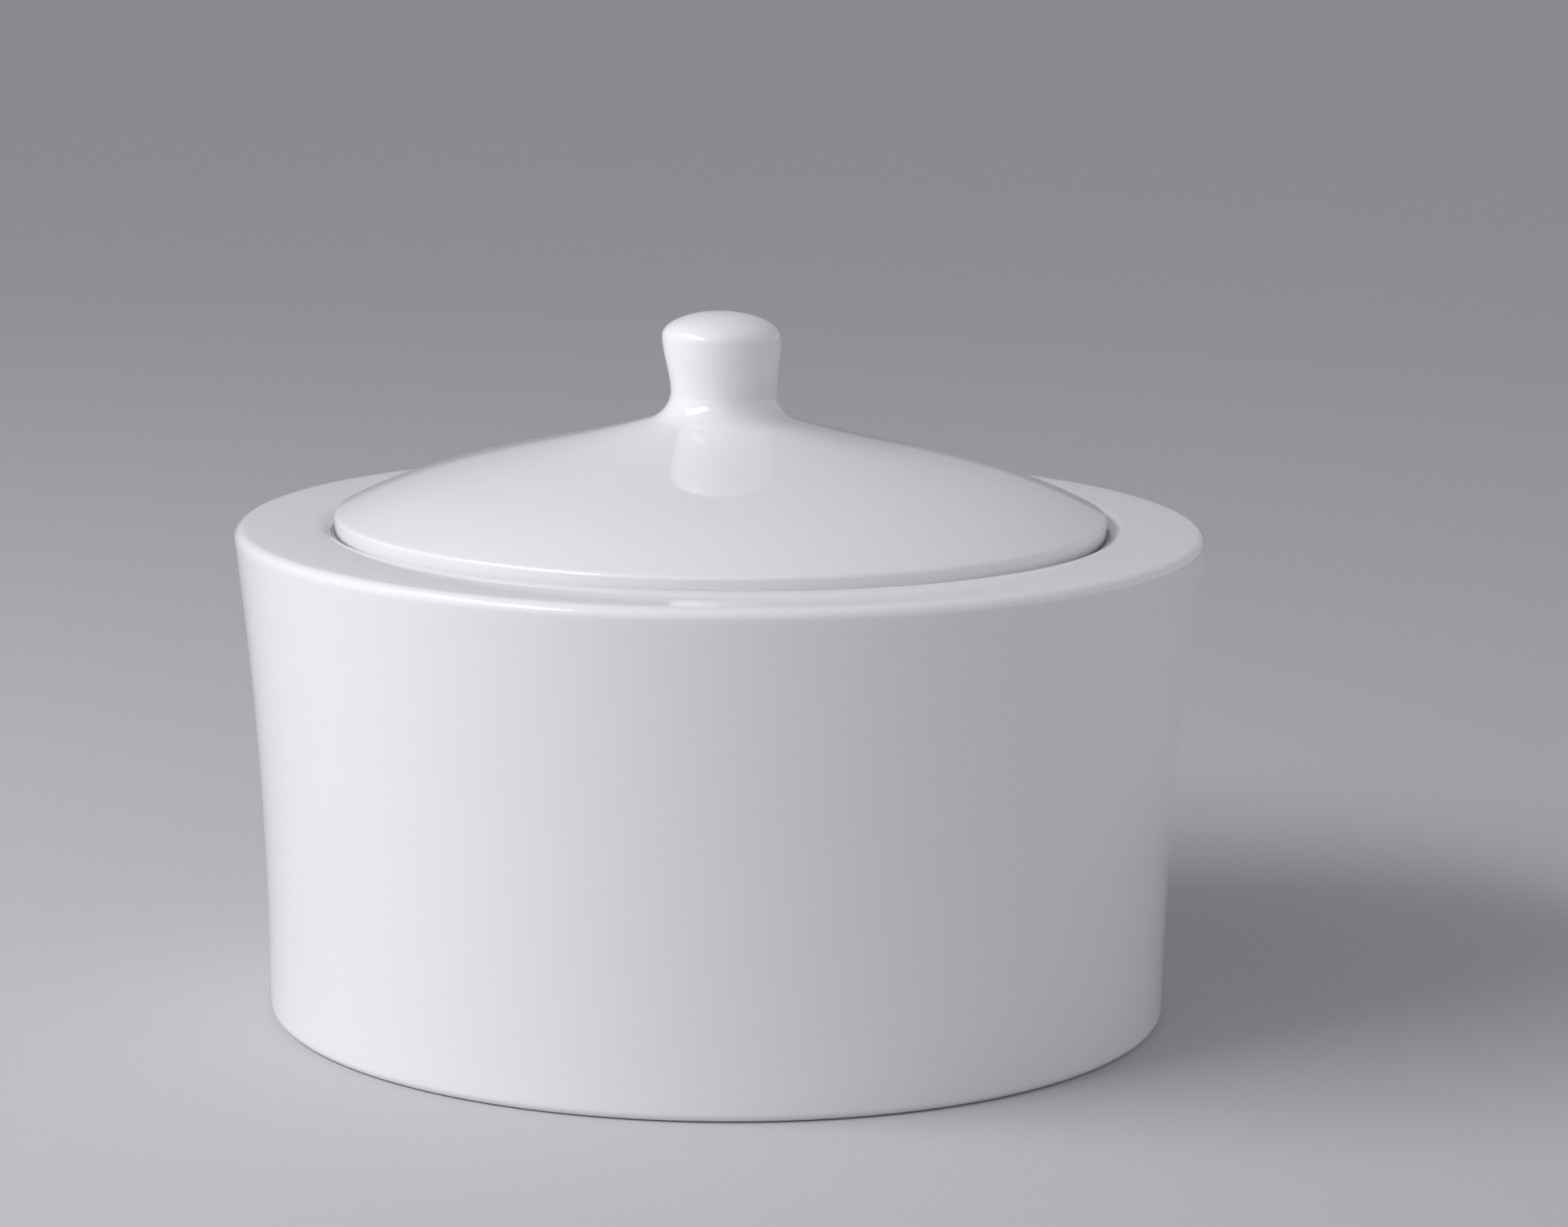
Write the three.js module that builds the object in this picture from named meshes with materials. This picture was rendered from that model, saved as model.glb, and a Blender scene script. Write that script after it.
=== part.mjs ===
// Lidded sugar bowl in white glazed porcelain: a round bowl whose rim turns in to a recessed ledge,
// and a domed lid with a knob that rests on that ledge.
// Millimetres, +Z up, the origin at the centre of the foot. Angles are in degrees.
import * as THREE from "three";

// Bowl
const bowlHeight = 56.1;
const rimRadius = 55;
const rimLean = 7.2; // how far the wall leans out from upright where it meets the rim
const footLean = 0.6; // the same at the foot
const wallThickness = 4.4; // at the foot; the inside is upright, so the wall thickens upwards
const floorThickness = 5;
const floorCornerRound = 8;
const rimOuterRound = 1.9;
const rimInnerRound = 1.4;

// Foot ring that the bowl stands on
const footEdgeRound = 1;
const footRingWidth = 6;
const footRecessDepth = 2.5;
const footRecessFlare = 1; // how much the recess narrows from the table to its ceiling
const footRecessRound = 0.8;

// Recess inside the rim, with the ledge that carries the lid
const seatRadius = 44.45;
const seatDepth = 1.9;
const seatCornerRound = 0.3;
const ledgeWidth = 3.25;
const ledgeThickness = 4.4;
const ledgeRound = 1;
const haunchRound = 4.5; // fillet under the ledge

// Lid
const lidSideClearance = 0.65;
const lidSeatClearance = 0.3;
const lidEdgeHeight = 2.65;
const lidEdgeTaper = 0.4; // how much narrower the edge is at its lower side
const lidUpperEdgeRound = 0.9;
const lidLowerEdgeRound = 0.6;
const lidThickness = 4;
const domeRise = 10.5; // from the lid's upper edge to the root of the knob
const domeEdgeSlope = 27.5; // steepness of the dome at the lid's edge
const domeKnobSlope = 20.2; // steepness of the dome at the root of the knob

// Flange under the lid that keeps it in the mouth of the bowl
const flangeSideClearance = 1;
const flangeThickness = 3;
const flangeDepth = 4.5;
const flangeRound = 1.2;
const flangeFillet = 2.5; // between the flange and the underside of the dome

// Knob
const knobFillet = 3.55;
const knobNeckRadius = 6;
const knobHeadRadius = 6.7;
const knobFlareHeight = 6.1; // from the neck up to the widest part of the head
const knobCrownHeight = 3.05;

// Fineness of the turned surfaces
const turnSegments = 60;
const arcStep = 30;
const wallSteps = 4;
const domeSteps = 8;
const curveSteps = 3;

// Worked out from the sizes above
const floorHeight = footRecessDepth + floorThickness;
const ledgeHeight = bowlHeight - seatDepth;
const mouthRadius = seatRadius - ledgeWidth;
const lidRadius = seatRadius - lidSideClearance;
const lidSeatHeight = ledgeHeight + lidSeatClearance;
const lidEdgeTop = lidSeatHeight + lidEdgeHeight;
const flangeRadius = mouthRadius - flangeSideClearance;
const flangeInnerRadius = flangeRadius - flangeThickness;
const flangeBottom = lidSeatHeight - flangeDepth;
const knobRootSlope = THREE.MathUtils.degToRad(domeKnobSlope);
const knobRootRadius = knobNeckRadius + knobFillet * (1 - Math.sin(knobRootSlope));
const knobRootHeight = lidEdgeTop + domeRise;
const knobNeckHeight = knobRootHeight + knobFillet * Math.cos(knobRootSlope);
const knobHeadHeight = knobNeckHeight + knobFlareHeight;

function at(radius, height) {
  return new THREE.Vector2(radius, height);
}

// Points along an arc of a circle or an upright ellipse, from one angle to another.
function arc(centre, radius, from, to, steps, upRadius = radius) {
  const start = THREE.MathUtils.degToRad(from);
  const end = THREE.MathUtils.degToRad(to);
  const curve = new THREE.EllipseCurve(centre.x, centre.y, radius, upRadius, start, end, to < from);
  return curve.getPoints(steps);
}

// Points of a fillet that rounds the corner between two straight sides.
function roundedCorner(before, corner, after, radius) {
  const back = before.clone().sub(corner).normalize();
  const ahead = after.clone().sub(corner).normalize();
  const halfAngle = Math.acos(back.dot(ahead)) / 2;
  const toCentre = back.clone().add(ahead).setLength(radius / Math.sin(halfAngle));
  const centre = corner.clone().add(toCentre);
  const start = corner.clone().addScaledVector(back, radius / Math.tan(halfAngle)).sub(centre);
  const turn = THREE.MathUtils.radToDeg(Math.PI - 2 * halfAngle) * -Math.sign(back.cross(ahead));
  const from = THREE.MathUtils.radToDeg(start.angle());
  return arc(centre, radius, from, from + turn, Math.ceil(Math.abs(turn) / arcStep));
}

// Points of a run of straight sides with rounded corners, without the run's two ends.
function roundedRun(start, corners, end) {
  const points = [start, ...corners.map((corner) => corner.point), end];
  return corners.flatMap((corner, i) =>
    roundedCorner(points[i], corner.point, points[i + 2], corner.round),
  );
}

// The outer wall is one hollow arc, tangent to the rounded foot edge and to the rounded rim.
function outerWall() {
  const foot = THREE.MathUtils.degToRad(footLean);
  const rim = THREE.MathUtils.degToRad(rimLean);
  const top = bowlHeight - rimOuterRound * (1 + Math.sin(rim));
  const bottom = footEdgeRound * (1 - Math.sin(foot));
  const sweep = (top - bottom) / (Math.sin(rim) - Math.sin(foot));
  const rimCentre = at(rimRadius - rimOuterRound, bowlHeight - rimOuterRound);
  const wallCentre = at(
    rimCentre.x + (rimOuterRound + sweep) * Math.cos(rim),
    rimCentre.y - (rimOuterRound + sweep) * Math.sin(rim),
  );
  const footCentre = at(wallCentre.x - (sweep + footEdgeRound) * Math.cos(foot), footEdgeRound);
  return {
    foot: arc(footCentre, footEdgeRound, -90, -footLean, Math.ceil(90 / arcStep)),
    wall: arc(wallCentre, sweep, 180 - footLean, 180 - rimLean, wallSteps),
    rim: arc(rimCentre, rimOuterRound, -rimLean, 90, Math.ceil(90 / arcStep)),
  };
}

// Height of the dome's upper side and its fall per millimetre outwards, from the edge to the knob.
function domeAt(radius) {
  const span = lidRadius - knobRootRadius;
  const share = (lidRadius - radius) / span;
  const edgeRise = Math.tan(THREE.MathUtils.degToRad(domeEdgeSlope)) * span;
  const knobRise = Math.tan(knobRootSlope) * span;
  const bend = edgeRise + knobRise - 2 * domeRise;
  const swell = 3 * domeRise - 2 * edgeRise - knobRise;
  return {
    height: lidEdgeTop + share * (edgeRise + share * (swell + share * bend)),
    fall: (edgeRise + share * (2 * swell + share * 3 * bend)) / span,
  };
}

function domePoints(from, to, drop) {
  return Array.from({ length: domeSteps + 1 }, (_, i) => {
    const radius = THREE.MathUtils.lerp(from, to, i / domeSteps);
    return at(radius, domeAt(radius).height - drop);
  });
}

function bowlOutline() {
  const outer = outerWall();
  const ringOuter = outer.foot[0].x;
  const ringInner = ringOuter - footRingWidth;
  const insideRadius = outer.wall[0].x - wallThickness;
  const haunch = Math.min(haunchRound, insideRadius - mouthRadius - ledgeRound);
  const underFoot = roundedRun(
    at(0, footRecessDepth),
    [
      { point: at(ringInner - footRecessFlare, footRecessDepth), round: footRecessRound },
      { point: at(ringInner, 0), round: footRecessRound },
    ],
    outer.foot[0],
  );
  const inside = roundedRun(
    outer.rim.at(-1),
    [
      { point: at(seatRadius, bowlHeight), round: rimInnerRound },
      { point: at(seatRadius, ledgeHeight), round: seatCornerRound },
      { point: at(mouthRadius, ledgeHeight), round: ledgeRound },
      { point: at(mouthRadius, ledgeHeight - ledgeThickness), round: ledgeRound },
      { point: at(insideRadius, ledgeHeight - ledgeThickness), round: haunch },
      { point: at(insideRadius, floorHeight), round: floorCornerRound },
    ],
    at(0, floorHeight),
  );
  return [
    at(0, footRecessDepth),
    ...underFoot,
    ...outer.foot,
    ...outer.wall,
    ...outer.rim,
    ...inside,
    at(0, floorHeight),
  ];
}

// The hollow under the lid: a level crown at the axis, the dome's underside and a fillet to the flange.
function lidHollow() {
  const root = at(knobRootRadius, knobRootHeight - lidThickness);
  const crown = at(0, root.y + (Math.tan(knobRootSlope) * knobRootRadius) / 2);
  const crownBend = at(knobRootRadius / 2, crown.y);
  const edge = domeAt(flangeInnerRadius - flangeFillet);
  const end = at(flangeInnerRadius - flangeFillet, edge.height - lidThickness);
  const corner = at(flangeInnerRadius, end.y - edge.fall * flangeFillet);
  const flangeSide = at(flangeInnerRadius, corner.y - flangeFillet);
  return [
    ...new THREE.QuadraticBezierCurve(crown, crownBend, root).getPoints(curveSteps),
    ...domePoints(knobRootRadius, end.x, lidThickness),
    ...new THREE.QuadraticBezierCurve(end, corner, flangeSide).getPoints(curveSteps),
  ];
}

// The flange, the seat face and the rounded edge, up to where the edge runs into the dome.
function lidEdge() {
  const domeTangent = at(
    knobRootRadius,
    lidEdgeTop + domeAt(lidRadius).fall * (lidRadius - knobRootRadius),
  );
  return roundedRun(
    at(flangeInnerRadius, lidSeatHeight),
    [
      { point: at(flangeInnerRadius, flangeBottom), round: flangeRound },
      { point: at(flangeRadius, flangeBottom), round: flangeRound },
      { point: at(flangeRadius, lidSeatHeight), round: seatCornerRound },
      { point: at(lidRadius - lidEdgeTaper, lidSeatHeight), round: lidLowerEdgeRound },
      { point: at(lidRadius, lidEdgeTop), round: lidUpperEdgeRound },
    ],
    domeTangent,
  );
}

// From the root of the knob: a fillet into the neck, a flare up to the head and a rounded crown.
function knobOutline() {
  const neck = at(knobNeckRadius, knobNeckHeight);
  const head = at(knobHeadRadius, knobHeadHeight);
  const lift = at(0, knobFlareHeight / 3);
  const flare = new THREE.CubicBezierCurve(neck, neck.clone().add(lift), head.clone().sub(lift), head);
  const filletCentre = at(knobNeckRadius + knobFillet, knobNeckHeight);
  return [
    ...arc(filletCentre, knobFillet, 270 - domeKnobSlope, 180, curveSteps),
    ...flare.getPoints(curveSteps),
    ...arc(at(0, knobHeadHeight), knobHeadRadius, 0, 90, 2 * curveSteps, knobCrownHeight),
  ];
}

function lidOutline() {
  const edge = lidEdge();
  return [
    ...lidHollow(),
    ...edge,
    ...domePoints(edge.at(-1).x, knobRootRadius, 0).slice(1),
    ...knobOutline(),
    at(0, knobHeadHeight + knobCrownHeight),
  ];
}

// A solid turned about the upright axis; the outline runs from the axis below to the axis above.
function turned(name, outline, material) {
  const geometry = new THREE.LatheGeometry(outline, turnSegments).rotateX(Math.PI / 2);
  const mesh = new THREE.Mesh(geometry, material);
  mesh.name = name;
  return mesh;
}

const bowlGlaze = new THREE.MeshStandardMaterial({ color: 0xe4e4e8, roughness: 0.12, metalness: 0 });
const lidGlaze = new THREE.MeshStandardMaterial({ color: 0xe6e6ea, roughness: 0.1, metalness: 0 });

const sugarBowl = new THREE.Group();
sugarBowl.add(turned("bowl", bowlOutline(), bowlGlaze));
sugarBowl.add(turned("lid", lidOutline(), lidGlaze));

export default sugarBowl;
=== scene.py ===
"""Sugar bowl in white glazed porcelain: a slightly flared bowl, and a domed lid with a knob.

Both pieces are turned from an outline, as on a potter's wheel. Lengths are metres, and +Z is up.
"""

import math

import bmesh
import bpy
import numpy as np
from bpy.props import (
    FloatProperty,
    FloatVectorProperty,
    IntProperty,
    PointerProperty,
)
from bpy.types import Operator, Panel, PropertyGroup
from mathutils import Matrix, Quaternion, Vector


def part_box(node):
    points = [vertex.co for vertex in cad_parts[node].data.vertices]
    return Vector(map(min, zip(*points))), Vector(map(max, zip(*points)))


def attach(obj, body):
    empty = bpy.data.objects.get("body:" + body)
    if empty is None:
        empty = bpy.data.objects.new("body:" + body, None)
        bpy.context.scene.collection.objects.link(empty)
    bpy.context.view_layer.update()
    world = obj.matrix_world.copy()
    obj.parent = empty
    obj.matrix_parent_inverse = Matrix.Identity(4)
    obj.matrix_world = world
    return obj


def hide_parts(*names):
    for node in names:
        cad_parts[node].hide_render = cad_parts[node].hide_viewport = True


bl_info = {
    "name": "Sugar bowl with lid",
    "version": (1, 0, 0),
    "blender": (4, 5, 0),
    "location": "3D View > Sidebar > Sugar bowl",
    "description": "Turns a lidded porcelain sugar bowl and sets it on a studio table",
    "category": "Add Mesh",
}

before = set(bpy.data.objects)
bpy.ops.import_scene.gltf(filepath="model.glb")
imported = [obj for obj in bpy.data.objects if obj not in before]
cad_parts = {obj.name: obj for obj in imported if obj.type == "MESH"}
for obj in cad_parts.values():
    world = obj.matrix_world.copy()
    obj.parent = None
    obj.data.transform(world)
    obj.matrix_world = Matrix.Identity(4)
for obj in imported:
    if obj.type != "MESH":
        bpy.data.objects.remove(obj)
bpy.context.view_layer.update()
bowl_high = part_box("bowl")[1]
lid_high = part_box("lid")[1]

# Pixels of the photograph: its size, and the place that the camera aims at.
PHOTO_SIZE = (1950, 1526)
PHOTO_AIM = (894.1, 874.6)

MM = 0.001

# Fineness of an outline: the largest turn between two points of a round, the longest step,
# the steps of a curve, and how near two points are one.
ROUND_STEP = math.radians(5)
LONGEST_STEP = 0.95 * MM
CURVE_STEPS = 26
SAME_PLACE = 1e-4 * MM

# How near to a level face a point counts as on it.
HAIR = 0.01 * MM

# The warp dies away inside this radius, and points of the turned shell this near are joined.
WARP_CORE = 4 * MM
JOIN = 0.001 * MM

# The lid's seed is this much more than the bowl's, so their specks lie in different places.
LID_SEED_STEP = 20


def length(name, description, default):
    return FloatProperty(
        name=name, description=description, default=default, min=0, precision=5, unit="LENGTH"
    )


def angle(name, description, degrees):
    return FloatProperty(
        name=name, description=description, default=math.radians(degrees), subtype="ANGLE"
    )


def share(name, description, default):
    return FloatProperty(
        name=name, description=description, default=default, min=0, max=1, subtype="FACTOR"
    )


def colour(name, description, default):
    return FloatVectorProperty(
        name=name, description=description, default=default, min=0, max=1, size=3, subtype="COLOR"
    )


def strength(name, description, default, unit="NONE"):
    return FloatProperty(name=name, description=description, default=default, min=0, unit=unit)


class BowlSizes(PropertyGroup):
    """Sizes of the bowl"""

    height: length("Height", "From the table to the flat of the rim", bowl_high.z)
    rim_radius: length("Rim radius", "Widest radius, at the rim", bowl_high.x)
    rim_lean: angle("Rim lean", "How far the wall leans out where it meets the rim", 7.2)
    foot_lean: angle("Foot lean", "How far the wall leans out at the foot", 0.6)
    wall: length("Wall", "Thickness of the wall at the foot", 4.4 * MM)
    floor: length("Floor", "Thickness of the floor", 5 * MM)
    floor_round: length("Floor round", "Round between the floor and the inside of the wall", 8 * MM)
    rim_round: length("Rim round", "Round on the outer edge of the rim", 1.2 * MM)
    rim_crown: angle("Rim crown", "How far the top of the rim tips at its outer edge", 3.8)
    lip_reach: length("Lip reach", "Width of the round on the rim's inner lip", 2 * MM)
    lip_drop: length("Lip drop", "Height of the round on the rim's inner lip", 1.2 * MM)
    foot_round: length("Foot round", "Round on the lower edge of the wall", 1 * MM)
    foot_ring: length("Foot ring", "Width of the ring that the bowl stands on", 6 * MM)
    recess: length("Recess", "Depth of the hollow inside the foot ring", 2.5 * MM)
    recess_flare: length("Recess flare", "How much the hollow narrows to its ceiling", 1 * MM)
    recess_round: length("Recess round", "Rounds of the hollow's edges", 0.8 * MM)
    seat_radius: length("Seat radius", "Radius of the recess that takes the lid", 44.08 * MM)
    seat_depth: length("Seat depth", "Depth of the ledge below the rim", 1.6 * MM)
    seat_round: length("Seat round", "Round in the corner of the seat", 0.9 * MM)
    ledge: length("Ledge", "Width of the ledge that carries the lid", 2.88 * MM)
    ledge_thickness: length("Ledge thickness", "Thickness of the ledge", 4.4 * MM)
    ledge_round: length("Ledge round", "Rounds of the ledge's lip", 1 * MM)
    haunch: length("Haunch", "Round under the ledge", 4.5 * MM)


class LidSizes(PropertyGroup):
    """Sizes of the lid"""

    side_gap: length("Side gap", "Clearance between the lid and the rim", 0.28 * MM)
    seat_gap: length("Seat gap", "Clearance between the lid and the ledge", 0.3 * MM)
    edge: length("Edge", "Height of the lid's upright edge", 2.35 * MM)
    edge_taper: length("Edge taper", "How much narrower the edge is below", 0.1 * MM)
    upper_round: length("Upper round", "Round where the edge meets the dome", 0.55 * MM)
    lower_round: length("Lower round", "Round under the edge", 0.8 * MM)
    thickness: length("Thickness", "Thickness of the dome", 4 * MM)
    rise: length("Rise", "From the edge up to the root of the knob", 10.5 * MM)
    edge_slope: angle("Edge slope", "Steepness of the dome at the edge", 26.8)
    knob_slope: angle("Knob slope", "Steepness of the dome at the knob", 17.6)
    flange_gap: length("Flange gap", "Clearance between the flange and the ledge's lip", 1 * MM)
    flange: length("Flange", "Thickness of the flange under the lid", 3 * MM)
    flange_depth: length("Flange depth", "How far the flange reaches below the seat", 4.5 * MM)
    flange_round: length("Flange round", "Rounds of the flange's edge", 1.2 * MM)
    flange_fillet: length("Flange fillet", "Fillet between the flange and the dome", 2.5 * MM)
    knob_fillet: length("Knob fillet", "Fillet at the root of the knob", 3.55 * MM)
    knob_neck: length("Knob neck", "Radius of the knob's neck", 6.08 * MM)
    knob_head: length("Knob head", "Radius of the knob's head", 6.78 * MM)
    knob_flare: length("Knob flare", "From the neck up to the widest part of the head", 6.1 * MM)
    knob_crown: length("Knob crown", "From the widest part of the head up to its top", 2.85 * MM)
    knob_shift: length("Knob shift", "How far the hand-set knob stands off the middle", 0.26 * MM)
    knob_lean: angle("Knob lean", "How far the knob leans back over the middle", 3.4)


class MakingMarks(PropertyGroup):
    """What the making leaves on the ware"""

    segments: IntProperty(
        name="Segments", description="Steps around the axis", default=256, min=48, max=300
    )
    warp: length("Warp", "How far the fired wall wanders inwards", 0.09 * MM)
    warp_size: length("Warp size", "Length of a wave of that warp", 34 * MM)
    seed: IntProperty(name="Seed", description="Picks the warp and the specks", default=7, min=0)


class GlazeLook(PropertyGroup):
    """Colours and gloss of the porcelain"""

    white: colour("White", "The glazed body", (0.874, 0.857, 0.863))
    white_drift: colour("White drift", "The glazed body where it drifts warmer", (0.878, 0.860, 0.857))
    pooled: colour("Pooled", "Where the glaze lies thick in a hollow", (0.842, 0.838, 0.842))
    thin: colour("Thin", "Where the glaze draws thin over an edge", (0.880, 0.858, 0.850))
    biscuit: colour("Biscuit", "The bare fired body", (0.71, 0.69, 0.65))
    speck: colour("Speck", "Iron specks in the body", (0.30, 0.26, 0.22))
    gloss: share("Gloss roughness", "Roughness of the clean glaze", 0.05)
    smudge: share("Smudge roughness", "Roughness added where the glaze is smudged", 0.05)
    biscuit_roughness: share("Biscuit roughness", "Roughness of the bare body", 0.78)
    translucency: share("Translucency", "Share of the light that goes through the body", 0.25)
    light_path: length("Light path", "How far light spreads inside the body", 1.2 * MM)


class StageSetting(PropertyGroup):
    """Table, lamps and camera"""

    paper: colour("Paper", "The sweep of paper under the bowl", (0.586, 0.589, 0.592))
    light: colour("Light", "Colour of the lamp and of the room", (0.937, 0.947, 1))
    key_azimuth: angle("Key azimuth", "Direction of the main lamp, from the camera to its left", 65)
    key_elevation: angle("Key elevation", "Height of the main lamp", 40.5)
    key_roll: angle("Key roll", "How far the near end of the main lamp hangs lower", 10)
    key_distance: length("Key distance", "From the bowl to the main lamp", 0.62)
    key_width: length("Key width", "Width of the main lamp", 0.5)
    key_height: length("Key height", "Height of the main lamp's face", 0.155)
    key_power: strength("Key power", "Power of the main lamp", 2.5, "POWER")
    glow_azimuth: angle("Glow azimuth", "Direction of the main glow, from the camera to its left", 60)
    glow_elevation: angle("Glow elevation", "Height of the room's main glow", 16)
    glow_left: strength("Left glow", "The room's main glow", 1.08)
    glow_right: strength("Right glow", "Light from the room on the far side", 1.04)
    glow_back: strength("Back glow", "Light from the room behind the bowl", 0.4)
    glow_top: strength("Top glow", "Light from the ceiling", 0.03)
    focal_length: FloatProperty(
        name="Focal length", description="Lens of the camera", default=112.45, min=1, unit="CAMERA"
    )
    camera_distance: length("Camera distance", "From the camera to its aim", 0.5601)
    camera_elevation: angle("Camera elevation", "Height of the camera", 11.35)
    camera_roll: angle("Camera roll", "Turn of the camera about its view", 0.54)
    camera_aim: length("Camera aim", "Height of the point that the camera aims at", 35 * MM)


class SugarBowlSettings(PropertyGroup):
    """All that can be set"""

    bowl: PointerProperty(type=BowlSizes, name="Bowl", description="Sizes of the bowl")
    lid: PointerProperty(type=LidSizes, name="Lid", description="Sizes of the lid")
    making: PointerProperty(type=MakingMarks, name="Making", description="Marks of the making")
    glaze: PointerProperty(type=GlazeLook, name="Glaze", description="Look of the porcelain")
    stage: PointerProperty(type=StageSetting, name="Stage", description="Table, lamps and camera")


# Outlines. A point is a radius and a height, and an outline runs from the axis below, outwards,
# and back to the axis above, with the clay on its left.


def at(radius, height):
    return Vector((radius, height))


def arc(centre, radius, start, end, up_radius=None):
    """Points on an arc of a circle, or of an upright ellipse."""
    up_radius = radius if up_radius is None else up_radius
    turns = math.ceil(abs(end - start) / ROUND_STEP)
    steps = max(turns, math.ceil(abs(end - start) * radius / LONGEST_STEP))
    angles = np.linspace(start, end, steps + 1)
    return [centre + at(radius * math.cos(a), up_radius * math.sin(a)) for a in angles]


def rounded_corner(before, corner, after, radius):
    back = (before - corner).normalized()
    ahead = (after - corner).normalized()
    half_angle = back.angle(ahead) / 2
    centre = corner + (back + ahead).normalized() * (radius / math.sin(half_angle))
    start = corner + back * (radius / math.tan(half_angle)) - centre
    turn = math.copysign(math.pi - 2 * half_angle, -back.cross(ahead))
    begin = math.atan2(start.y, start.x)
    return arc(centre, radius, begin, begin + turn)


def rounded_run(start, corners, end):
    """Points of a run of straight sides with rounded corners, without the run's two ends."""
    points = [start, *(corner for corner, _ in corners), end]
    return [
        point
        for i, (corner, radius) in enumerate(corners)
        for point in rounded_corner(points[i], corner, points[i + 2], radius)
    ]


def bezier(*handles):
    """Points on a Bezier curve with any number of handles."""
    found = []
    for t in np.linspace(0, 1, CURVE_STEPS + 1):
        level = list(handles)
        while len(level) > 1:
            level = [a.lerp(b, t) for a, b in zip(level, level[1:])]
        found.append(level[0])
    return found


def filled(points):
    """The same outline with no step longer than the longest one, and no point given twice."""
    found = [points[0]]
    for point in points[1:]:
        start = found[-1]
        gap = (point - start).length
        if gap < SAME_PLACE:
            continue
        steps = math.ceil(gap / LONGEST_STEP)
        found += [start.lerp(point, (i + 1) / steps) for i in range(steps)]
    return found


class BowlPlan:
    """The bowl's outline, worked out from its sizes."""

    def __init__(self, sizes):
        self.sizes = sizes
        self.floor_height = sizes.recess + sizes.floor
        self.ledge_height = sizes.height - sizes.seat_depth
        self.mouth_radius = sizes.seat_radius - sizes.ledge

    def outer_wall(self):
        """One hollow arc, tangent to the rounded foot edge and to the rounded rim."""
        s = self.sizes
        flat = s.rim_radius - s.rim_round - s.seat_radius - s.lip_reach
        crown = flat / math.sin(s.rim_crown) + s.rim_round
        crown_centre = at(s.seat_radius + s.lip_reach, s.height - crown)
        crown_edge = math.pi / 2 - s.rim_crown
        towards_edge = at(math.cos(crown_edge), math.sin(crown_edge))
        rim_centre = crown_centre + towards_edge * (crown - s.rim_round)
        rim = arc(rim_centre, s.rim_round, -s.rim_lean, crown_edge)
        rim += arc(crown_centre, crown, crown_edge, math.pi / 2)
        bottom = s.foot_round * (1 - math.sin(s.foot_lean))
        sweep = (rim[0].y - bottom) / (math.sin(s.rim_lean) - math.sin(s.foot_lean))
        wall_centre = rim[0] + sweep * at(math.cos(s.rim_lean), -math.sin(s.rim_lean))
        foot_centre = at(wall_centre.x - (sweep + s.foot_round) * math.cos(s.foot_lean), s.foot_round)
        return (
            arc(foot_centre, s.foot_round, -math.pi / 2, -s.foot_lean),
            arc(wall_centre, sweep, math.pi - s.foot_lean, math.pi - s.rim_lean),
            rim,
        )

    def inner_lip(self):
        """The round from the top of the rim down into the seat."""
        s = self.sizes
        centre = at(s.seat_radius + s.lip_reach, s.height - s.lip_drop)
        return arc(centre, s.lip_reach, math.pi / 2, math.pi, s.lip_drop)

    def outline(self):
        s = self.sizes
        foot, wall, rim = self.outer_wall()
        ring_inner = foot[0].x - s.foot_ring
        inside = wall[0].x - s.wall
        haunch = min(s.haunch, inside - self.mouth_radius - s.ledge_round)
        under_foot = [
            (at(ring_inner - s.recess_flare, s.recess), s.recess_round),
            (at(ring_inner, 0), s.recess_round),
        ]
        ledge_underside = self.ledge_height - s.ledge_thickness
        lip = self.inner_lip()
        inner_side = [
            (at(s.seat_radius, self.ledge_height), s.seat_round),
            (at(self.mouth_radius, self.ledge_height), s.ledge_round),
            (at(self.mouth_radius, ledge_underside), s.ledge_round),
            (at(inside, ledge_underside), haunch),
            (at(inside, self.floor_height), s.floor_round),
        ]
        start = at(0, s.recess)
        end = at(0, self.floor_height)
        return filled([
            start,
            *rounded_run(start, under_foot, foot[0]),
            *foot,
            *wall,
            *rim,
            *lip,
            *rounded_run(lip[-1], inner_side, end),
            end,
        ])

    def is_bare(self, point):
        """The foot ring and the top of the ledge are wiped clean of glaze before firing."""
        on_ledge = abs(point.y - self.ledge_height) < HAIR and point.x < self.sizes.seat_radius
        return point.y < HAIR or on_ledge


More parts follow.
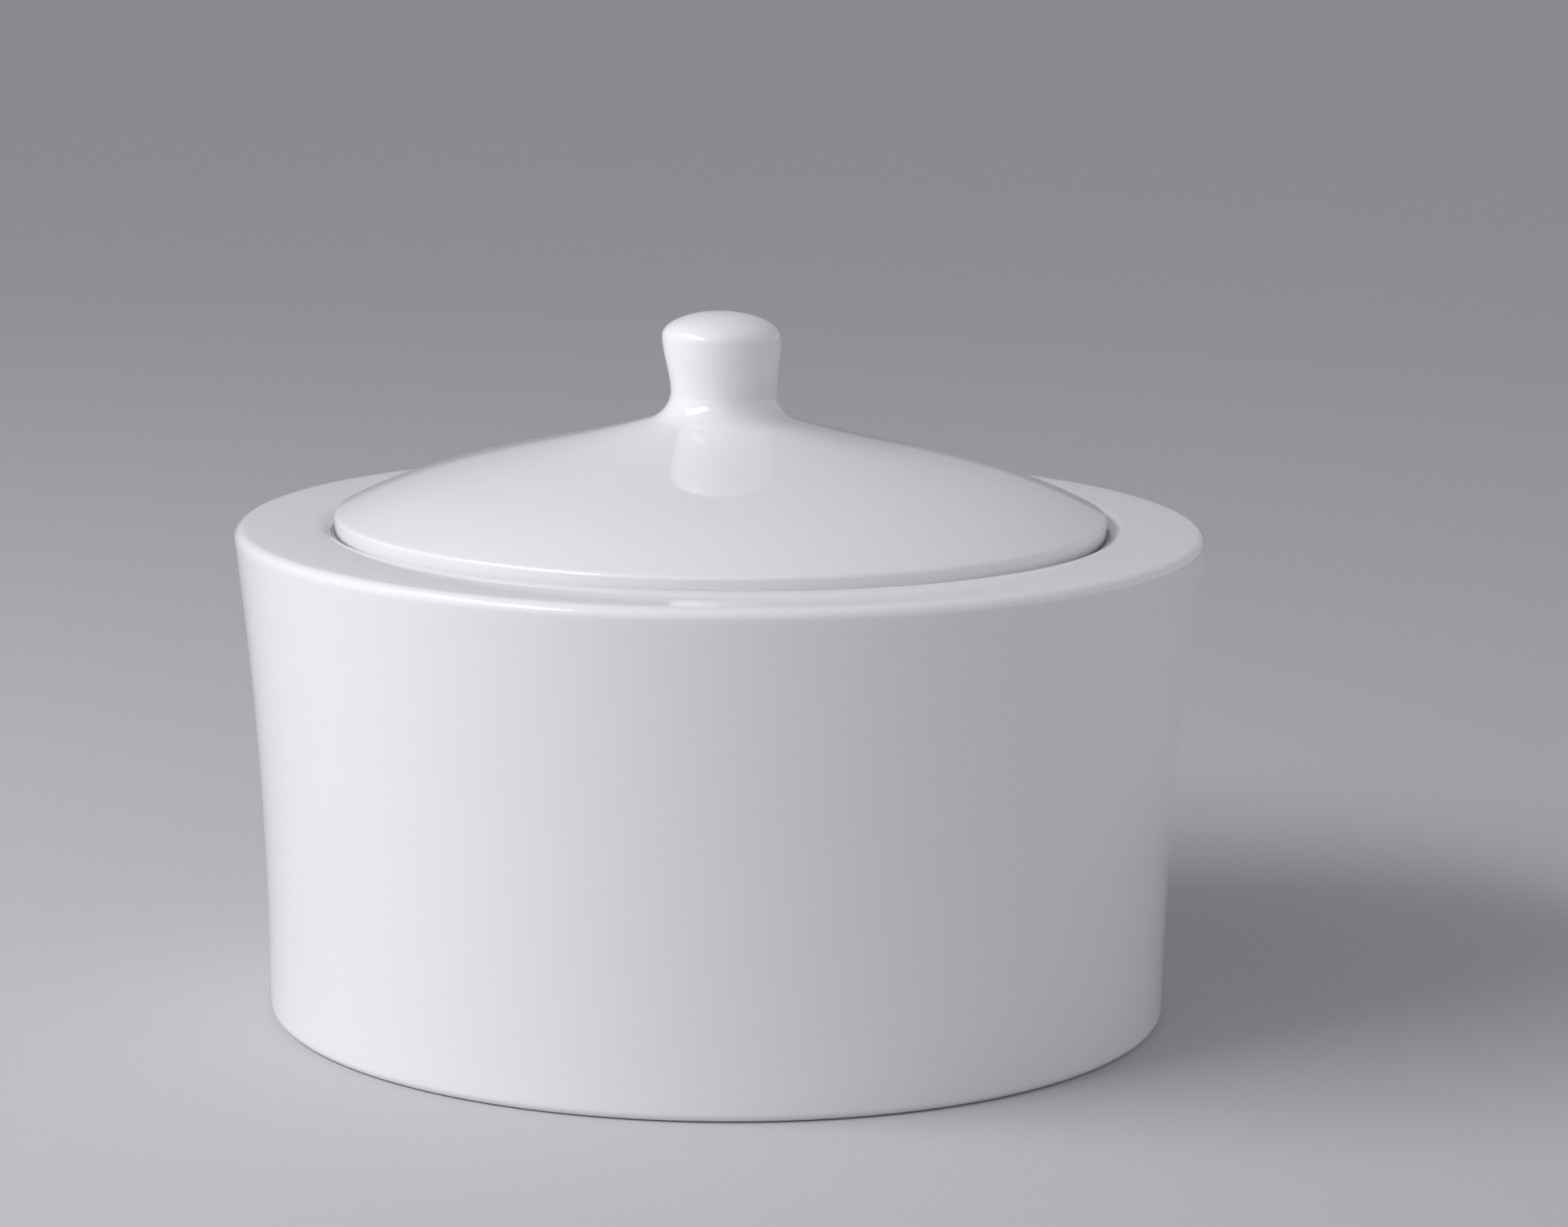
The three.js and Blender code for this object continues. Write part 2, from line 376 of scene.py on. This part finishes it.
class LidPlan:
    """The lid's outline, worked out from its sizes and from the seat that it lies in."""

    def __init__(self, sizes, bowl):
        self.sizes = sizes
        self.radius = bowl.sizes.seat_radius - sizes.side_gap
        self.seat_height = bowl.ledge_height + sizes.seat_gap
        self.edge_top = self.seat_height + sizes.edge
        self.flange_radius = bowl.mouth_radius - sizes.flange_gap
        self.flange_inner = self.flange_radius - sizes.flange
        self.flange_bottom = self.seat_height - sizes.flange_depth
        self.root_radius = sizes.knob_neck + sizes.knob_fillet * (1 - math.sin(sizes.knob_slope))
        self.root_height = self.edge_top + sizes.rise
        self.neck_height = self.root_height + sizes.knob_fillet * math.cos(sizes.knob_slope)
        self.head_height = self.neck_height + sizes.knob_flare

    def dome(self, radius):
        """Height of the dome's upper side, and its fall per metre outwards."""
        s = self.sizes
        span = self.radius - self.root_radius
        way = (self.radius - radius) / span
        edge_rise = math.tan(s.edge_slope) * span
        knob_rise = math.tan(s.knob_slope) * span
        bend = edge_rise + knob_rise - 2 * s.rise
        swell = 3 * s.rise - 2 * edge_rise - knob_rise
        height = self.edge_top + way * (edge_rise + way * (swell + way * bend))
        fall = (edge_rise + way * (2 * swell + way * 3 * bend)) / span
        return height, fall

    def dome_points(self, start, end, drop):
        steps = math.ceil(abs(end - start) / LONGEST_STEP)
        return [at(r, self.dome(r)[0] - drop) for r in np.linspace(start, end, steps + 1)]

    def hollow(self):
        """A level crown at the axis, the dome's underside and a fillet to the flange."""
        s = self.sizes
        root = at(self.root_radius, self.root_height - s.thickness)
        crown = at(0, root.y + math.tan(s.knob_slope) * self.root_radius / 2)
        crown_bend = at(self.root_radius / 2, crown.y)
        end_radius = self.flange_inner - s.flange_fillet
        height, fall = self.dome(end_radius)
        end = at(end_radius, height - s.thickness)
        corner = at(self.flange_inner, end.y - fall * s.flange_fillet)
        return [
            *bezier(crown, crown_bend, root),
            *self.dome_points(self.root_radius, end_radius, s.thickness),
            *bezier(end, corner, corner - at(0, s.flange_fillet)),
        ]

    def rounded_edge(self):
        """The flange, the seat face and the upright edge, up to the dome."""
        s = self.sizes
        fall = self.dome(self.radius)[1]
        dome_tangent = at(self.root_radius, self.edge_top + fall * (self.radius - self.root_radius))
        corners = [
            (at(self.flange_inner, self.flange_bottom), s.flange_round),
            (at(self.flange_radius, self.flange_bottom), s.flange_round),
            (at(self.flange_radius, self.seat_height), s.lower_round),
            (at(self.radius - s.edge_taper, self.seat_height), s.lower_round),
            (at(self.radius, self.edge_top), s.upper_round),
        ]
        return rounded_run(at(self.flange_inner, self.seat_height), corners, dome_tangent)

    def knob(self):
        """A fillet out of the dome, a flare up to the head and a rounded crown."""
        s = self.sizes
        neck = at(s.knob_neck, self.neck_height)
        head = at(s.knob_head, self.head_height)
        lift = at(0, s.knob_flare / 3)
        fillet_centre = neck + at(s.knob_fillet, 0)
        crown_height = min(s.knob_crown, lid_high.z - self.head_height)
        quarter = math.pi / 2
        return [
            *arc(fillet_centre, s.knob_fillet, 3 * quarter - s.knob_slope, math.pi),
            *bezier(neck, neck + lift, head - lift, head),
            *arc(at(0, self.head_height), s.knob_head, 0, quarter, crown_height),
        ]

    def outline(self):
        edge = self.rounded_edge()
        return filled([
            *self.hollow(),
            *edge,
            *self.dome_points(edge[-1].x, self.root_radius, 0)[1:],
            *self.knob(),
        ])

    def is_bare(self, point):
        """The face that lies on the ledge is wiped clean of glaze before firing."""
        return abs(point.y - self.seat_height) < HAIR


def glaze_depth(points, reach=1.4 * MM, pull=0.9 * MM):
    """How thick the glaze lies at each point: 0 thin over an edge, 0.5 level, 1 pooled in a hollow.

    A bend of the outline draws the glaze as far as the reach, and as much as the pull says.
    """
    line = np.array(points)
    step = np.diff(line, axis=0)
    way = np.concatenate([[0], np.cumsum(np.hypot(step[:, 0], step[:, 1]))])
    heading = np.unwrap(np.arctan2(step[:, 1], step[:, 0]))
    turn = np.zeros(len(line))
    turn[1:-1] = np.diff(heading)
    apart = (way[:, None] - way[None, :]) / reach
    weight = np.exp(-apart ** 2 / 2) / (reach * math.sqrt(2 * math.pi))
    return np.clip(0.5 - pull * (weight @ turn), 0, 1)


# Node trees


class Wire:
    """An output socket of a node; arithmetic on it adds the matching Math node."""

    def __init__(self, output):
        self.output = output

    @classmethod
    def node(cls, tree, kind, settings=None, sockets=None, output=0):
        """Adds a node of that kind, makes its settings, fills its sockets and gives one output."""
        made = tree.nodes.new(kind)
        for name, value in (settings or {}).items():
            setattr(made, name, value)
        for key, value in (sockets or {}).items():
            socket = cls.find(made.inputs, key)
            if isinstance(value, Wire):
                tree.links.new(value.output, socket)
            else:
                socket.default_value = value
        return cls(cls.find(made.outputs, output)) if made.outputs else made

    @staticmethod
    def find(sockets, key):
        if isinstance(key, int):
            return sockets[key]
        return next(s for s in sockets if key in (s.identifier, s.name))

    def __getitem__(self, key):
        return Wire(self.find(self.output.node.outputs, key))

    def math(self, operation, *values):
        tree = self.output.id_data
        return self.node(tree, "ShaderNodeMath", {"operation": operation}, dict(enumerate(values)))

    def apply(self, operation, *others):
        return self.math(operation, self, *others)

    def __add__(self, other):
        return self.math("ADD", self, other)

    def __radd__(self, other):
        return self.math("ADD", other, self)

    def __sub__(self, other):
        return self.math("SUBTRACT", self, other)

    def __rsub__(self, other):
        return self.math("SUBTRACT", other, self)

    def __mul__(self, other):
        return self.math("MULTIPLY", self, other)

    def __rmul__(self, other):
        return self.math("MULTIPLY", other, self)

    def __truediv__(self, other):
        return self.math("DIVIDE", self, other)

    def __rtruediv__(self, other):
        return self.math("DIVIDE", other, self)

    def ramp(self, start, end):
        """A smooth step from 0 at start to 1 at end."""
        sockets = {"Value": self, "From Min": start, "From Max": end}
        tree = self.output.id_data
        return self.node(tree, "ShaderNodeMapRange", {"interpolation_type": "SMOOTHSTEP"}, sockets)

    def mix(self, first, second):
        """The first colour where this wire is 0, and the second where it is 1."""
        sockets = {"Factor_Float": self, "A_Color": first, "B_Color": second}
        tree = self.output.id_data
        return self.node(tree, "ShaderNodeMix", {"data_type": "RGBA"}, sockets, "Result_Color")


def opaque(shade):
    return (*shade, 1)


def noise(tree, place, size, seed, detail):
    """Noise from 0 to 1 whose waves are about that long."""
    sockets = {"Vector": place, "W": seed, "Scale": 1 / size, "Detail": detail}
    return Wire.node(tree, "ShaderNodeTexNoise", {"noise_dimensions": "4D"}, sockets)


# Lengths of the marks on the ware, and heights of its relief.
WIPED_EDGE_LENGTH = 3.5 * MM
SPECK_SPACING = 11 * MM
DRIFT_LENGTH = 30 * MM
GRAIN_LENGTH = 0.5 * MM
GRAIN_HEIGHT = 0.03 * MM
SMUDGE_LENGTH = 17 * MM
WAVE_LENGTH = 16 * MM
WAVE_HEIGHT = 0.014 * MM
PEEL_LENGTH = 1.7 * MM
PEEL_HEIGHT = 0.0012 * MM
PINHOLE_DEPTH = 0.02 * MM
GLAZE_THICKNESS = 0.04 * MM

# How many of the cells hold a speck or a pinhole, and its radius as a share of the spacing.
SPECK_SHARE = 0.14
SPECK_RADIUS = 0.008
SPECK_RADIUS_SPREAD = 0.016
PINHOLE_SHARE = 0.1
PINHOLE_RADIUS = 0.014

# Where each mark starts and where it is full.
BARE_STEP = (0.35, 0.65)
THIN_STEP = (0.42, 0.12)
POOLED_STEP = (0.56, 0.82)
SPECK_STEP = (1.2, 0.7)
PINHOLE_STEP = (1, 0.3)
DRIFT_STEP = (0.3, 0.7)
SMUDGE_STEP = (0.45, 0.75)

# How strongly the marks show.
WIPED_EDGE_WANDER = 0.7
DEPTH_SHOW = 0.6
SPECK_SHOW = 0.5
GRAIN_SHADE = 0.86
COAT = 0.15


def glazed_porcelain(name, look, seed):
    """White porcelain under a clear glaze, with bare biscuit where the glaze was wiped off."""
    material = bpy.data.materials.new(name)
    material.use_nodes = True
    tree = material.node_tree
    tree.nodes.clear()
    place = Wire.node(tree, "ShaderNodeTexCoord", output="Object")

    # Masks: bare body with a wandering edge, thin and pooled glaze, and, by lot in each cell,
    # specks of iron and pinholes.
    wiped = Wire.node(tree, "ShaderNodeAttribute", {"attribute_name": "bare"}, output="Fac")
    depth = Wire.node(tree, "ShaderNodeAttribute", {"attribute_name": "glaze"}, output="Fac")
    wander = noise(tree, place, WIPED_EDGE_LENGTH, seed, detail=2) - 0.5
    bare = (wiped + wander * WIPED_EDGE_WANDER).ramp(*BARE_STEP)
    thin = depth.ramp(*THIN_STEP)
    pooled = depth.ramp(*POOLED_STEP)
    cell = Wire.node(
        tree, "ShaderNodeTexVoronoi", {"voronoi_dimensions": "4D"},
        {"Vector": place, "W": seed, "Scale": 1 / SPECK_SPACING},
    )
    lot = Wire.node(tree, "ShaderNodeSeparateColor", sockets={"Color": cell["Color"]})
    is_speck = lot["Red"].apply("GREATER_THAN", 1 - SPECK_SHARE)
    speck_radius = SPECK_RADIUS + lot["Green"] * SPECK_RADIUS_SPREAD
    speck = (cell["Distance"] / speck_radius).ramp(*SPECK_STEP) * is_speck
    is_pinhole = lot["Blue"].apply("GREATER_THAN", 1 - PINHOLE_SHARE)
    pinhole = (cell["Distance"] / PINHOLE_RADIUS).ramp(*PINHOLE_STEP) * is_pinhole

    # Colour
    drift = noise(tree, place, DRIFT_LENGTH, seed + 1, detail=2).ramp(*DRIFT_STEP)
    shade = drift.mix(opaque(look.white), opaque(look.white_drift))
    shade = (thin * DEPTH_SHOW).mix(shade, opaque(look.thin))
    shade = (pooled * DEPTH_SHOW).mix(shade, opaque(look.pooled))
    shade = (speck * SPECK_SHOW).mix(shade, opaque(look.speck))
    grain = noise(tree, place, GRAIN_LENGTH, seed + 2, detail=3)
    biscuit_dark = [GRAIN_SHADE * c for c in look.biscuit]
    shade = bare.mix(shade, grain.mix(opaque(biscuit_dark), opaque(look.biscuit)))

    # Gloss
    smear = noise(tree, place, SMUDGE_LENGTH, seed + 3, detail=3).ramp(*SMUDGE_STEP)
    gloss = look.gloss + smear * look.smudge
    roughness = gloss + (look.biscuit_roughness - gloss) * bare

    # Relief in metres: slow waves of the glaze, its fine orange peel, pinholes and bare grain.
    waves = (noise(tree, place, WAVE_LENGTH, seed + 4, detail=1) - 0.5) * WAVE_HEIGHT
    peel = (noise(tree, place, PEEL_LENGTH, seed + 5, detail=1) - 0.5) * PEEL_HEIGHT
    glaze_relief = waves + peel - pinhole * PINHOLE_DEPTH
    relief = glaze_relief * (1 - bare) + grain * bare * GRAIN_HEIGHT - bare * GLAZE_THICKNESS
    normal = Wire.node(tree, "ShaderNodeBump", sockets={"Height": relief, "Distance": 1, "Strength": 1})

    surface = Wire.node(tree, "ShaderNodeBsdfPrincipled", sockets={
        "Base Color": shade,
        "Subsurface Weight": look.translucency,
        "Subsurface Radius": (1, 0.9, 0.8),
        "Subsurface Scale": look.light_path,
        "Roughness": roughness,
        "IOR": 1.5,
        "Specular IOR Level": 0.5,
        "Coat Weight": (1 - bare) * COAT,
        "Coat Roughness": 0.03,
        "Coat IOR": 1.5,
        "Normal": normal,
    })
    Wire.node(tree, "ShaderNodeOutputMaterial", sockets={"Surface": surface})
    return material


WARE_INPUTS = {
    "Outline": "NodeSocketGeometry",
    "Segments": "NodeSocketInt",
    "Warp": "NodeSocketFloat",
    "Warp Size": "NodeSocketFloat",
    "Seed": "NodeSocketInt",
    "Root": "NodeSocketFloat",
    "Neck": "NodeSocketFloat",
    "Shift": "NodeSocketFloat",
    "Lean": "NodeSocketFloat",
    "Porcelain": "NodeSocketMaterial",
}


def turned_ware_tree():
    """Geometry nodes that turn an outline about the upright axis into a closed shell."""
    tree = bpy.data.node_groups.new("turned ware", "GeometryNodeTree")
    for name, kind in WARE_INPUTS.items():
        tree.interface.new_socket(name=name, in_out="INPUT", socket_type=kind)
    tree.interface.new_socket(name="Ware", in_out="OUTPUT", socket_type="NodeSocketGeometry")
    given = Wire.node(tree, "NodeGroupInput")
    outline = given["Outline"]
    segments = given["Segments"]

    # A grid with a column for each step around the axis and a row for each point of the outline.
    count = Wire.node(tree, "GeometryNodeAttributeDomainSize", {"component": "MESH"}, {0: outline})
    rows = count["Point Count"]
    grid = Wire.node(
        tree, "GeometryNodeMeshGrid", sockets={"Vertices X": segments + 1, "Vertices Y": rows}
    )
    index = Wire.node(tree, "GeometryNodeInputIndex")
    ratio = index / rows
    column = ratio.apply("FLOOR")
    row = index - column * rows

    def sampled(value, kind):
        settings = {"data_type": kind, "domain": "POINT", "clamp": True}
        sockets = {"Geometry": outline, "Value": value, "Index": row}
        return Wire.node(tree, "GeometryNodeSampleIndex", settings, sockets)

    point = sampled(Wire.node(tree, "GeometryNodeInputPosition"), "FLOAT_VECTOR")
    part = Wire.node(tree, "ShaderNodeSeparateXYZ", sockets={0: point})
    turn = column * (2 * math.pi) / segments
    cosine = turn.apply("COSINE")
    sine = turn.apply("SINE")

    # The fired ware wanders a little inwards, and the hand-set knob stands aside and leans a little.
    around = Wire.node(tree, "ShaderNodeCombineXYZ", sockets={
        "X": part["X"] * cosine,
        "Y": part["X"] * sine,
        "Z": part["Z"],
    })
    wave = Wire.node(tree, "ShaderNodeTexNoise", {"noise_dimensions": "4D"}, {
        "Vector": around,
        "W": given["Seed"],
        "Scale": 1 / given["Warp Size"],
        "Detail": 1,
    })
    body = part["X"].ramp(0, WARP_CORE)
    inset = wave * given["Warp"] * body
    radius = part["X"] - inset
    over = part["Z"] - given["Neck"]
    shift = part["Z"].ramp(given["Root"], given["Neck"]) * given["Shift"]
    aside = shift - over.apply("MAXIMUM", 0) * given["Lean"]
    place = Wire.node(tree, "ShaderNodeCombineXYZ", sockets={
        "X": radius * cosine + aside,
        "Y": radius * sine,
        "Z": part["Z"],
    })
    ware = Wire.node(
        tree, "GeometryNodeSetPosition", sockets={"Geometry": grid["Mesh"], "Position": place}
    )
    for name in ("bare", "glaze"):
        stored = Wire.node(
            tree, "GeometryNodeInputNamedAttribute", {"data_type": "FLOAT"}, {"Name": name}
        )
        ware = Wire.node(
            tree,
            "GeometryNodeStoreNamedAttribute",
            {"data_type": "FLOAT", "domain": "POINT"},
            {"Geometry": ware, "Name": name, "Value": sampled(stored["Attribute"], "FLOAT")},
        )
    ware = Wire.node(
        tree, "GeometryNodeMergeByDistance", sockets={"Geometry": ware, "Distance": JOIN}
    )
    ware = Wire.node(tree, "GeometryNodeSetShadeSmooth", sockets={0: ware, "Shade Smooth": True})
    ware = Wire.node(tree, "GeometryNodeRealizeInstances", sockets={"Geometry": ware})
    ware = Wire.node(
        tree, "GeometryNodeSetMaterial", sockets={"Geometry": ware, "Material": given["Porcelain"]}
    )
    Wire.node(tree, "NodeGroupOutput", sockets={"Ware": ware})
    return tree


def outline_mesh(name, points, is_bare):
    """The outline as a line of points, with what the glaze does at each of them."""
    mesh = bpy.data.meshes.new(name)
    places = [(p.x, 0, p.y) for p in points]
    edges = [(i, i + 1) for i in range(len(points) - 1)]
    mesh.from_pydata(places, edges, [])
    marks = {"bare": [float(is_bare(p)) for p in points], "glaze": glaze_depth(points)}
    for mark, values in marks.items():
        mesh.attributes.new(mark, "FLOAT", "POINT").data.foreach_set("value", values)
    return mesh


def turn_piece(name, plan, making, porcelain, **knob):
    """Turns the plan's outline into a plain, closed mesh with its faces outwards."""
    tree = bpy.data.node_groups.get("turned ware") or turned_ware_tree()
    line = outline_mesh(name + "_outline", plan.outline(), plan.is_bare)
    piece = bpy.data.objects.new(name, line)
    bpy.context.scene.collection.objects.link(piece)
    modifier = piece.modifiers.new("turned ware", "NODES")
    modifier.node_group = tree
    values = {
        "Segments": making.segments,
        "Warp": making.warp,
        "Warp Size": making.warp_size,
        "Seed": making.seed,
        "Porcelain": porcelain,
        **knob,
    }
    for socket in tree.interface.items_tree:
        if socket.name in values:
            modifier[socket.identifier] = values[socket.name]
    depsgraph = bpy.context.evaluated_depsgraph_get()
    turned = bpy.data.meshes.new_from_object(
        piece.evaluated_get(depsgraph), preserve_all_data_layers=True, depsgraph=depsgraph
    )
    piece.modifiers.remove(modifier)
    piece.data = turned
    turned.name = name
    bpy.data.meshes.remove(line)
    check_shell(name, turned)
    return piece


def check_shell(name, mesh):
    """Stops the script if a turned piece is open or inside out."""
    shell = bmesh.new()
    shell.from_mesh(mesh)
    volume = shell.calc_volume(signed=True)
    open_edges = sum(not edge.is_manifold for edge in shell.edges)
    shell.free()
    if volume <= 0 or open_edges:
        raise RuntimeError(f"{name}: volume {volume}, {open_edges} open edges")


class TurnBowl(Operator):
    """Turns the bowl and glazes it"""

    bl_idname = "sugar_bowl.turn_bowl"
    bl_label = "Turn the bowl"

    def execute(self, context):
        settings = context.scene.sugar_bowl
        porcelain = glazed_porcelain("bowl porcelain", settings.glaze, settings.making.seed)
        piece = turn_piece("turned_bowl", BowlPlan(settings.bowl), settings.making, porcelain)
        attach(piece, "bowl")
        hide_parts("bowl")
        return {"FINISHED"}


class TurnLid(Operator):
    """Turns the lid with its knob and glazes it"""

    bl_idname = "sugar_bowl.turn_lid"
    bl_label = "Turn the lid"

    def execute(self, context):
        settings = context.scene.sugar_bowl
        seed = settings.making.seed + LID_SEED_STEP
        porcelain = glazed_porcelain("lid porcelain", settings.glaze, seed)
        plan = LidPlan(settings.lid, BowlPlan(settings.bowl))
        # The dome starts to give way to the shifted knob at twice the radius of the knob's root.
        knob = {
            "Root": plan.dome(2 * plan.root_radius)[0],
            "Neck": plan.neck_height,
            "Shift": settings.lid.knob_shift,
            "Lean": math.tan(settings.lid.knob_lean),
        }
        piece = turn_piece("turned_lid", plan, settings.making, porcelain, **knob)
        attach(piece, "lid")
        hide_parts("lid")
        return {"FINISHED"}


# Stage

# The paper: how far its flat part reaches in front and behind, half its width, the bend behind,
# how far it lies below the foot, and the length and shade of its fibres.
PAPER_NEAR = -4
PAPER_FAR = 0.65
PAPER_HALF_WIDTH = 5
PAPER_BEND_RADIUS = 4.5
PAPER_BEND = math.radians(14)
PAPER_BEND_STEPS = 8
PAPER_DROP = 0.02 * MM
FIBRE_LENGTH = 1.2 * MM
FIBRE_STEP = (0.2, 0.8)
FIBRE_SHADE = 0.985
FIBRE_SEED = 3


def direction(azimuth, elevation):
    """From the bowl towards a place that far to the right of the camera and that high."""
    level = math.cos(elevation)
    return Vector((math.sin(azimuth) * level, -math.cos(azimuth) * level, math.sin(elevation)))


def paper_sweep(shade):
    """A wide sheet of pale paper that lies under the bowl and rises gently behind it."""
    line = [(PAPER_NEAR, -PAPER_DROP), (PAPER_FAR, -PAPER_DROP)]
    for bent in np.linspace(0, PAPER_BEND, PAPER_BEND_STEPS + 1)[1:]:
        rise = PAPER_BEND_RADIUS * (1 - math.cos(bent))
        line.append((PAPER_FAR + PAPER_BEND_RADIUS * math.sin(bent), rise - PAPER_DROP))
    mesh = bpy.data.meshes.new("paper_sweep")
    places = [(x, y, z) for y, z in line for x in (-PAPER_HALF_WIDTH, PAPER_HALF_WIDTH)]
    faces = [(2 * i, 2 * i + 1, 2 * i + 3, 2 * i + 2) for i in range(len(line) - 1)]
    mesh.from_pydata(places, [], faces)
    mesh.shade_smooth()
    material = bpy.data.materials.new("pale paper")
    material.use_nodes = True
    tree = material.node_tree
    tree.nodes.clear()
    place = Wire.node(tree, "ShaderNodeTexCoord", output="Object")
    fibre = noise(tree, place, FIBRE_LENGTH, FIBRE_SEED, detail=3).ramp(*FIBRE_STEP)
    darker = [FIBRE_SHADE * c for c in shade]
    surface = Wire.node(tree, "ShaderNodeBsdfPrincipled", sockets={
        "Base Color": fibre.mix(opaque(darker), opaque(shade)),
        "Roughness": 0.9,
        "Specular IOR Level": 0.2,
    })
    Wire.node(tree, "ShaderNodeOutputMaterial", sockets={"Surface": surface})
    mesh.materials.append(material)
    sweep = bpy.data.objects.new("paper_sweep", mesh)
    bpy.context.scene.collection.objects.link(sweep)


def soft_room(shade, glows):
    """Light from the room around: a broad, soft glow from each of the given directions."""
    world = bpy.data.worlds.new("soft room")
    world.use_nodes = True
    tree = world.node_tree
    tree.nodes.clear()
    way = Wire.node(tree, "ShaderNodeTexCoord", output="Generated")
    total = 0
    for towards, brightness in glows.items():
        facing = Wire.node(
            tree, "ShaderNodeVectorMath", {"operation": "DOT_PRODUCT"}, {0: way, 1: towards}, "Value"
        )
        facing = facing.apply("MAXIMUM", 0)
        total = facing * facing * brightness + total
    light = Wire.node(
        tree, "ShaderNodeBackground", sockets={"Color": opaque(shade), "Strength": total}
    )
    Wire.node(tree, "ShaderNodeOutputWorld", sockets={"Surface": light})
    bpy.context.scene.world = world


def key_lamp(setting):
    """A soft rectangular lamp that faces the bowl."""
    light = bpy.data.lights.new("key lamp", "AREA")
    light.shape = "RECTANGLE"
    light.size = setting.key_width
    light.size_y = setting.key_height
    light.energy = setting.key_power
    light.color = setting.light
    holder = bpy.data.objects.new("key lamp", light)
    away = direction(-setting.key_azimuth, setting.key_elevation)
    roll = Quaternion((0, 0, 1), -setting.key_roll)
    holder.location = Vector((0, 0, setting.camera_aim)) + away * setting.key_distance
    holder.rotation_euler = (away.to_track_quat("Z", "Y") @ roll).to_euler()
    bpy.context.scene.collection.objects.link(holder)


def camera(setting):
    """The camera at the photograph's place, with the aim where the photograph has it."""
    wide, high = PHOTO_SIZE
    aim_x, aim_y = PHOTO_AIM
    data = bpy.data.cameras.new("camera")
    data.sensor_fit = "HORIZONTAL"
    data.sensor_width = 36
    data.lens = setting.focal_length
    data.shift_x = (wide / 2 - aim_x) / wide
    data.shift_y = (aim_y - high / 2) / wide
    data.clip_start = 0.01
    data.clip_end = 100
    back = direction(0, setting.camera_elevation)
    right = Vector((1, 0, 0))
    up = back.cross(right)
    roll = setting.camera_roll
    across = right * math.cos(roll) + up * math.sin(roll)
    upright = up * math.cos(roll) - right * math.sin(roll)
    place = Vector((0, 0, setting.camera_aim)) + back * setting.camera_distance
    stand = Matrix((across, upright, back)).transposed().to_4x4()
    holder = bpy.data.objects.new("camera", data)
    holder.matrix_world = Matrix.Translation(place) @ stand
    bpy.context.scene.collection.objects.link(holder)
    bpy.context.scene.camera = holder


class SetStage(Operator):
    """Lays the paper, sets the lamps and places the camera"""

    bl_idname = "sugar_bowl.set_stage"
    bl_label = "Set the stage"

    def execute(self, context):
        setting = context.scene.sugar_bowl.stage
        paper_sweep(setting.paper)
        glow = direction(-setting.glow_azimuth, setting.glow_elevation)
        soft_room(setting.light, {
            tuple(glow): setting.glow_left,
            (1, 0, 0): setting.glow_right,
            (0, 1, 0): setting.glow_back,
            (0, 0, 1): setting.glow_top,
        })
        key_lamp(setting)
        camera(setting)
        context.scene.view_settings.view_transform = "Standard"
        return {"FINISHED"}


class SugarBowlPanel(Panel):
    """Sizes, looks and making of the sugar bowl"""

    bl_idname = "VIEW3D_PT_sugar_bowl"
    bl_label = "Sugar bowl"
    bl_space_type = "VIEW_3D"
    bl_region_type = "UI"
    bl_category = "Sugar bowl"

    def draw(self, context):
        settings = context.scene.sugar_bowl
        for operator in OPERATORS:
            self.layout.operator(operator.bl_idname)
        for part in SugarBowlSettings.__annotations__:
            group = getattr(settings, part)
            box = self.layout.box()
            box.label(text=settings.bl_rna.properties[part].name)
            for name in type(group).__annotations__:
                box.prop(group, name)


GROUPS = (BowlSizes, LidSizes, MakingMarks, GlazeLook, StageSetting, SugarBowlSettings)
OPERATORS = (TurnBowl, TurnLid, SetStage)
CLASSES = (*GROUPS, *OPERATORS, SugarBowlPanel)


def register():
    for kind in CLASSES:
        bpy.utils.register_class(kind)
    bpy.types.Scene.sugar_bowl = PointerProperty(type=SugarBowlSettings)


def unregister():
    del bpy.types.Scene.sugar_bowl
    for kind in reversed(CLASSES):
        bpy.utils.unregister_class(kind)


def main():
    register()
    bpy.ops.sugar_bowl.turn_bowl()
    bpy.ops.sugar_bowl.turn_lid()
    bpy.ops.sugar_bowl.set_stage()


if __name__ == "__main__":
    main()
